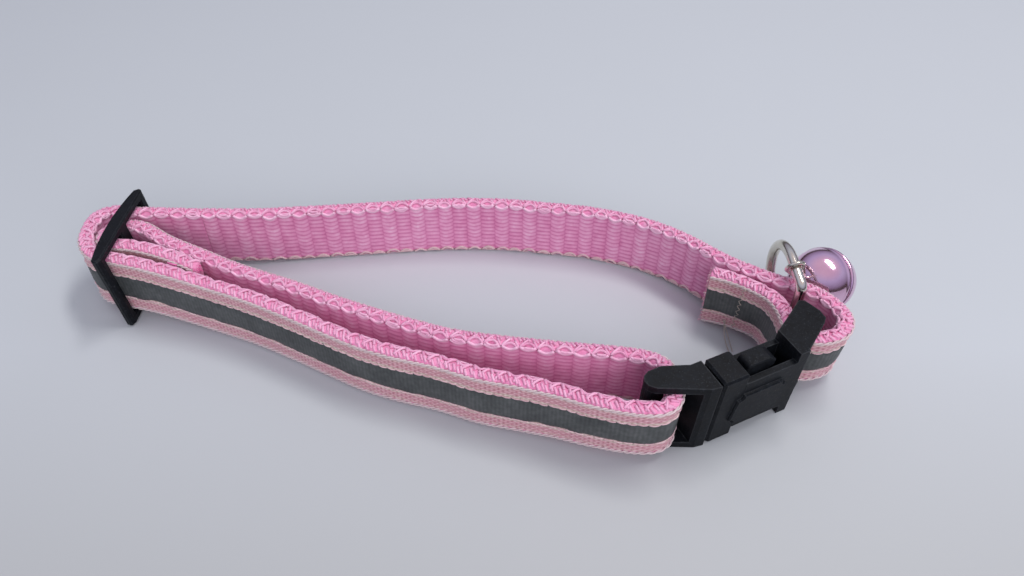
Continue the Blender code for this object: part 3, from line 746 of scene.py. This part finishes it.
def dress_cad(acetal, nickel):
    """Finishes on the solids that stay as they are: the moulded pieces and the ball."""
    for name in MOULDED:
        node = frame["nodes"][name]
        node.data.materials.clear()
        node.data.materials.append(acetal)
        moulded_edges(node, EDGE_ROUND if name == "triglide_slider" else BUCKLE_ROUND)
    ball = frame["nodes"]["bell_clapper_ball"]
    ball.data.materials.clear()
    ball.data.materials.append(nickel)
    weld = ball.modifiers.new("weld", "WELD")
    weld.merge_threshold = 0.000002
    ball.modifiers.new("round", "SUBSURF").render_levels = 2


# ================= ring and bell =================
def closed_tube(name, path, radius, finish, sides=24):
    """A smooth round wire along a closed loop of points."""
    path = np.array([tuple(p) for p in path])
    along = np.roll(path, -1, axis=0) - np.roll(path, 1, axis=0)
    along /= np.linalg.norm(along, axis=1, keepdims=True)
    normal = np.cross(path[len(path) // 3] - path[0], path[2 * len(path) // 3] - path[0])
    normal /= np.linalg.norm(normal)
    side = np.cross(normal, along)
    side /= np.linalg.norm(side, axis=1, keepdims=True)
    turn = 2 * np.pi * np.arange(sides) / sides
    ring = np.cos(turn)[None, :, None] * side[:, None, :] + np.sin(turn)[None, :, None] * normal
    points = path[:, None, :] + radius * ring
    rows = grid_faces(len(path), sides, True).tolist()
    last = (len(path) - 1) * sides
    for c in range(sides):
        n = (c + 1) % sides
        rows.append([last + c, last + n, n, c])
    return mesh_object(name, points, rows, [finish])


def ring_axes():
    """Directions out from the ring's bar and up the bar."""
    lean, pitch, turn = (math.radians(a) for a in (RING_LEAN, RING_PITCH, RING_TURN))
    up = Vector((-math.sin(lean), -math.sin(pitch), math.cos(lean) * math.cos(pitch))).normalized()
    out = Vector((-math.sin(turn), math.cos(turn), 0))
    return (out - up * out.dot(up)).normalized(), up


def ring_outline():
    """The D in its own plane, millimetres: (out from the bar, up the bar)."""
    reach, corner = RING_SPAN / 2, 0.9
    points = [(0.0, w) for w in np.linspace(corner, RING_SPAN - corner, 24)]
    for turn in np.radians(np.linspace(168.75, 101.25, 7)):
        points.append((corner + corner * math.cos(turn), RING_SPAN - corner + corner * math.sin(turn)))
    for turn in np.radians(np.linspace(90, -90, 72)):
        points.append((RING_ARM + reach * math.cos(turn), reach + reach * math.sin(turn)))
    for turn in np.radians(np.linspace(-101.25, -168.75, 7)):
        points.append((corner + corner * math.cos(turn), corner + corner * math.sin(turn)))
    return points


def make_ring(nickel):
    """The D-ring as smooth round wire."""
    out, up = ring_axes()
    foot = Vector(RING_FOOT)
    path = [foot + out * u + up * w for u, w in ring_outline()]
    ring = closed_tube("ring_wire", path, RING_WIRE, nickel, 32)
    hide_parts("d_ring")
    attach(ring, "d_ring")


def bell_axes():
    """The bell's own directions: across, across, and up its pole."""
    level = Vector((0, 1, 0)).cross(BELL_POLE).normalized()
    return level, BELL_POLE.cross(level), BELL_POLE


def shell_outline(hole):
    """Half of a stamped ball: outside from the hole to the rolled lip, then back along the inside."""
    points = []
    for turn in np.linspace(math.asin(hole / BELL_RADIUS), math.radians(86.5), 40):
        lip = 0.13 * math.exp(-((math.degrees(turn) - 84.5) / 2.2) ** 2)
        points.append(((BELL_RADIUS + lip) * math.sin(turn), (BELL_RADIUS + lip) * math.cos(turn)))
    inner = BELL_RADIUS - BELL_WALL
    points.append((BELL_RADIUS - 0.1, 0.17))
    for turn in np.linspace(math.radians(88), math.asin(hole / inner), 16):
        points.append((inner * math.sin(turn), inner * math.cos(turn)))
    return points


def shell(name, sign, hole, finish):
    """One half of the bell: sign is 1 on the loop side and -1 on the slotted side."""
    sides = 96
    level, across, up = (np.array(a) for a in bell_axes())
    outline = np.array(shell_outline(hole))
    turn = 2 * np.pi * np.arange(sides) / sides
    ring = np.cos(turn)[:, None] * level + np.sin(turn)[:, None] * across
    points = (np.array(BELL_CENTRE) + outline[:, None, :1] * ring[None]
              + sign * outline[:, None, 1:] * up)
    faces = grid_faces(len(outline), sides, True).tolist()
    last = (len(outline) - 1) * sides
    faces += [[last + c, last + (c + 1) % sides, (c + 1) % sides, c] for c in range(sides)]
    if sign < 0:
        faces = [f[::-1] for f in faces]
    return mesh_object(name, points, faces, [finish])


def cut_slot(far):
    """Cuts the bell's slot with a round hole at each end through the far shell."""
    level, across, up = bell_axes()
    turn = Matrix((level, across, up)).transposed().to_4x4()
    at = Matrix.Translation((BELL_CENTRE + Vector(PLAN_SHIFT)) * 0.001)
    cutters = []
    for x, size in ((0.0, None), (-3.1, 0.8), (3.1, 0.8)):
        if size is None:
            bpy.ops.mesh.primitive_cube_add(size=1)
            local = Matrix.Translation((0, 0, -0.0043)) @ Matrix.Diagonal((0.0062, 0.0007, 0.0036, 1))
        else:
            bpy.ops.mesh.primitive_cylinder_add(vertices=40, radius=size * 0.001, depth=0.0045)
            local = Matrix.Translation((x * 0.001, 0, -0.00375))
        cutter = bpy.context.object
        cutter.matrix_world = at @ turn @ local
        cutters.append(cutter)
        boolean = far.modifiers.new("slot", "BOOLEAN")
        boolean.operation = "DIFFERENCE"
        boolean.object = cutter
    graph = bpy.context.evaluated_depsgraph_get()
    cut = bpy.data.meshes.new_from_object(far.evaluated_get(graph))
    far.modifiers.clear()
    far.data = cut
    for cutter in cutters:
        bpy.data.objects.remove(cutter)


def make_bell(finish, nickel):
    """The two half shells and the wire loop that hangs them on the ring."""
    near = shell("bell_half_loop", 1, 0.5, finish)
    far = shell("bell_half_slot", -1, 0.5, finish)
    cut_slot(far)
    out, up = ring_axes()
    hook = Vector(RING_FOOT) + up * RING_SPAN + out * BELL_HOOK
    foot = BELL_CENTRE + BELL_POLE * (BELL_RADIUS + 0.15)
    rise = (hook - foot).normalized()
    wide = (out - rise * out.dot(rise)).normalized().cross(rise).normalized()
    reach = (hook - foot).length
    bend = RING_WIRE + LOOP_WIRE + 0.12
    path = []
    for turn in np.linspace(0, math.pi, 16):
        path.append(hook + wide * bend * math.cos(turn) + rise * bend * math.sin(turn))
    for share in np.linspace(0, 1, 12)[1:]:
        narrow = bend * (1 - share) + LOOP_FOOT * share
        path.append(hook - rise * reach * share - wide * narrow)
    for share in np.linspace(1, 0, 12)[:-1]:
        narrow = bend * (1 - share) + LOOP_FOOT * share
        path.append(hook - rise * reach * share + wide * narrow)
    loop = closed_tube("bell_loop_wire", path, LOOP_WIRE, nickel, 16)
    for piece, node, slot in ((near, "bell_shell_loop_side", "bell_metal"),
                              (far, "bell_shell_slot_side", "bell_metal"),
                              (loop, "bell_loop", "ring_steel")):
        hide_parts(node)
        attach(piece, "bell")


# ================= sewing =================
def satin_stitches(strap, name, finish, first, last, rows, radius, seed):
    """Thread going to and fro across the webbing's outer face, from its lower to its upper edge."""
    random = rng(seed)
    t = np.linspace(0, 1, 9)
    paths, shades = [], []
    for row in range(rows):
        base = -SEAM_HALF + 2 * SEAM_HALF * row / (rows - 1)
        s = first + (last - first) * (t if row % 2 else 1 - t) + random.normal(0, 0.04)
        high = base + 2 * SEAM_HALF / (rows - 1) * t + random.normal(0, 0.04)
        out = HALF_THICK + 0.22 + 0.08 * np.sin(np.pi * t)
        paths.append(strap.place(s, out, high))
        shades.append(random.uniform(0.2, 1.0))
    points, faces = tubes(paths, radius, 6)
    return mesh_object(name, points, faces, [finish], None, np.repeat(np.array(shades), 9 * 6))


def frayed_end(strap, name, finish, s_end, direction, seed):
    """Cut filaments standing out of the webbing's end."""
    random = rng(seed)
    t = np.linspace(0, 1, 6)
    paths = []
    for _ in range(170):
        high = random.uniform(-4.6, 4.6)
        out = random.uniform(-0.8, 0.85)
        length = random.uniform(0.10, 0.45)
        s = np.full(6, s_end - direction * 0.15)
        point = strap.place(s, out + random.normal(0, 0.15) * t, high + random.normal(0, 0.25) * t)
        near, far = strap.place(np.array([s_end, s_end - direction * 1.0]), 0.0, 0.0)
        along = (near - far) / np.linalg.norm(near - far)
        paths.append(point + along * (length + 0.15) * t[:, None])
    points, faces = tubes(paths, 0.05, 4)
    shade = np.repeat(random.uniform(0, 1, len(paths)), 6 * 4)
    return mesh_object(name, points, faces, [finish], None, shade)


def loose_threads(strap, finish):
    """Two thread ends hanging from the tail seam down to the table."""
    t = np.linspace(0, 1, 24)
    paths = []
    for s_top, drift, swing in ((3.6, 0.9, 0.5), (4.0, 0.2, -0.3)):
        top = strap.place(np.array([s_top]), HALF_THICK + 0.25, -3.0)[0]
        x = top[0] + drift * t + swing * np.sin(3.0 * t) * 0.6
        y = top[1] - 4.3 * t ** 1.6
        z = 0.12 + (top[2] - 0.12) * (1 - t) ** 2.2
        paths.append(np.stack([x, y, z], axis=1))
    points, faces = tubes(paths, 0.07, 6)
    return mesh_object("loose_thread_ends", points, faces, [finish], None, np.full(len(points), 0.6))


def make_sewing(made):
    """The two seams, the cut ends and the loose threads."""
    beige = yarn_material("beige_thread", (0.16, 0.14, 0.13), (0.62, 0.52, 0.46))
    hot = yarn_material("hot_pink_thread", (0.72, 0.06, 0.30), (0.92, 0.24, 0.54))
    fringe = yarn_material("cut_filaments", (0.70, 0.28, 0.40), (0.92, 0.72, 0.76))
    back, front = made["back"][0], made["front"][0]
    tail = satin_stitches(back, "tail_stitches", beige, 5.2, 5.7, 17, 0.05, 41)
    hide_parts("bartack_tail_seam")
    seam = front.length - SLIDER_SEAM
    slider_seam = satin_stitches(front, "slider_stitches", hot, seam - 0.9, seam + 0.9, 34, 0.13, 43)
    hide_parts("bartack_slider_seam")
    tail_fray = frayed_end(back, "tail_cut_end", fringe, 0.0, -1, 45)
    slider_fray = frayed_end(front, "slider_cut_end", hot, front.length, 1, 47)
    ends = loose_threads(back, beige)
    for piece, body in ((tail, "female_side"), (tail_fray, "female_side"), (ends, "female_side"),
                        (slider_seam, "male_side"), (slider_fray, "male_side")):
        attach(piece, body)


# ================= stage =================
TABLE_PALE = (0.56, 0.585, 0.63)
TABLE_REACH = 1.2  # metres
TABLE_NEAR_SHADE = (0.47, 0.48, 0.50)


def make_stage():
    """A plain pale table, with painted shade making it a little greyer towards the viewer."""
    n = Nodes("table_top")
    split = n.tree.nodes.new("ShaderNodeSeparateXYZ")
    n.link(n.object_point(), split.inputs[0])
    # Painted shade: the colour darkens and greys towards the viewer.
    near = n.math("MULTIPLY", split.outputs[1], -25.0)
    colour = n.ramp(near, (0.05, TABLE_PALE), (1.0, TABLE_NEAR_SHADE))
    grain = n.noise(40.0, 4.0)
    colour = n.mix(n.math("MULTIPLY", grain, 0.10), colour, (0.48, 0.49, 0.53))
    fine = n.noise(900.0, 3.0)
    table = n.finish(colour, 0.55, 0.0, n.bump(fine, 0.05, 0.05))
    mesh = bpy.data.meshes.new("table_top")
    reach = TABLE_REACH
    mesh.from_pydata([(-reach, -reach, 0), (reach, -reach, 0), (reach, reach, 0), (-reach, reach, 0)],
                     [], [(0, 1, 2, 3)])
    mesh.materials.append(table)
    floor = bpy.data.objects.new("table_top", mesh)
    bpy.context.scene.collection.objects.link(floor)


def area_light(name, size, power, at, target, colour=(1, 1, 1), mirrored=True):
    data = bpy.data.lights.new(name, "AREA")
    data.shape = "RECTANGLE"
    data.size, data.size_y = size
    data.energy = power
    data.color = colour
    lamp = bpy.data.objects.new(name, data)
    bpy.context.scene.collection.objects.link(lamp)
    lamp.location = at
    lamp.rotation_euler = (Vector(target) - Vector(at)).to_track_quat("-Z", "Y").to_euler()
    lamp.visible_glossy = mirrored


def make_world():
    """Even light for diffuse rays; mirrors see a dim room below a pale ceiling."""
    world = bpy.data.worlds.new("soft_room")
    bpy.context.scene.world = world
    world.use_nodes = True
    tree = world.node_tree
    even = tree.nodes["Background"]
    even.inputs["Color"].default_value = (0.80, 0.84, 0.95, 1)
    even.inputs["Strength"].default_value = 0.50
    place = tree.nodes.new("ShaderNodeTexCoord")
    split = tree.nodes.new("ShaderNodeSeparateXYZ")
    room = tree.nodes.new("ShaderNodeValToRGB")
    stops = ((0.0, (0.05, 0.040, 0.035)), (0.10, (0.09, 0.07, 0.06)), (0.26, (0.36, 0.34, 0.46)),
             (0.60, (0.66, 0.70, 0.90)), (0.90, (0.88, 0.76, 0.84)))
    elements = room.color_ramp.elements
    while len(elements) < len(stops):
        elements.new(0.5)
    for element, (position, colour) in zip(elements, stops):
        element.position = position
        element.color = (*colour, 1.0)
    mirrored = tree.nodes.new("ShaderNodeBackground")
    mirrored.inputs["Strength"].default_value = 0.75
    rays = tree.nodes.new("ShaderNodeLightPath")
    either = tree.nodes.new("ShaderNodeMixShader")
    link = tree.links.new
    link(place.outputs["Generated"], split.inputs[0])
    link(split.outputs["Z"], room.inputs[0])
    link(room.outputs[0], mirrored.inputs["Color"])
    link(rays.outputs["Is Glossy Ray"], either.inputs[0])
    link(even.outputs[0], either.inputs[1])
    link(mirrored.outputs[0], either.inputs[2])
    link(either.outputs[0], tree.nodes["World Output"].inputs["Surface"])


def make_light():
    """The room, a small ceiling panel, and a broad soft window in front."""
    make_world()
    area_light("ceiling_panel", (0.34, 0.09), 1.5, (0.20, 0.10, 0.55), (0, 0, 0), (1.0, 0.98, 0.95))
    area_light("window_front", (0.7, 0.45), 3.2, (0.25, -0.62, 0.42), (0, 0, 0), (1.0, 0.97, 0.98), False)


def make_camera():
    """The view from in front and above."""
    data = bpy.data.cameras.new("photo_view")
    data.sensor_width = 36.0
    data.lens = LENS
    data.clip_start = 0.005
    camera = bpy.data.objects.new("photo_view", data)
    bpy.context.scene.collection.objects.link(camera)
    camera.location = (CAMERA_AT + PLAN_SHIFT) * 0.001
    camera.rotation_euler = (math.radians(90 - CAMERA_DIP), 0, 0)
    bpy.context.scene.camera = camera


make_stage()
make_light()
make_camera()
webbing = make_webbing()
make_sewing(webbing)
acetal, nickel = acetal_material(), nickel_material()
dress_cad(acetal, nickel)
make_ring(nickel)
make_bell(bell_material(), nickel)
bpy.context.scene.view_settings.view_transform = "Standard"
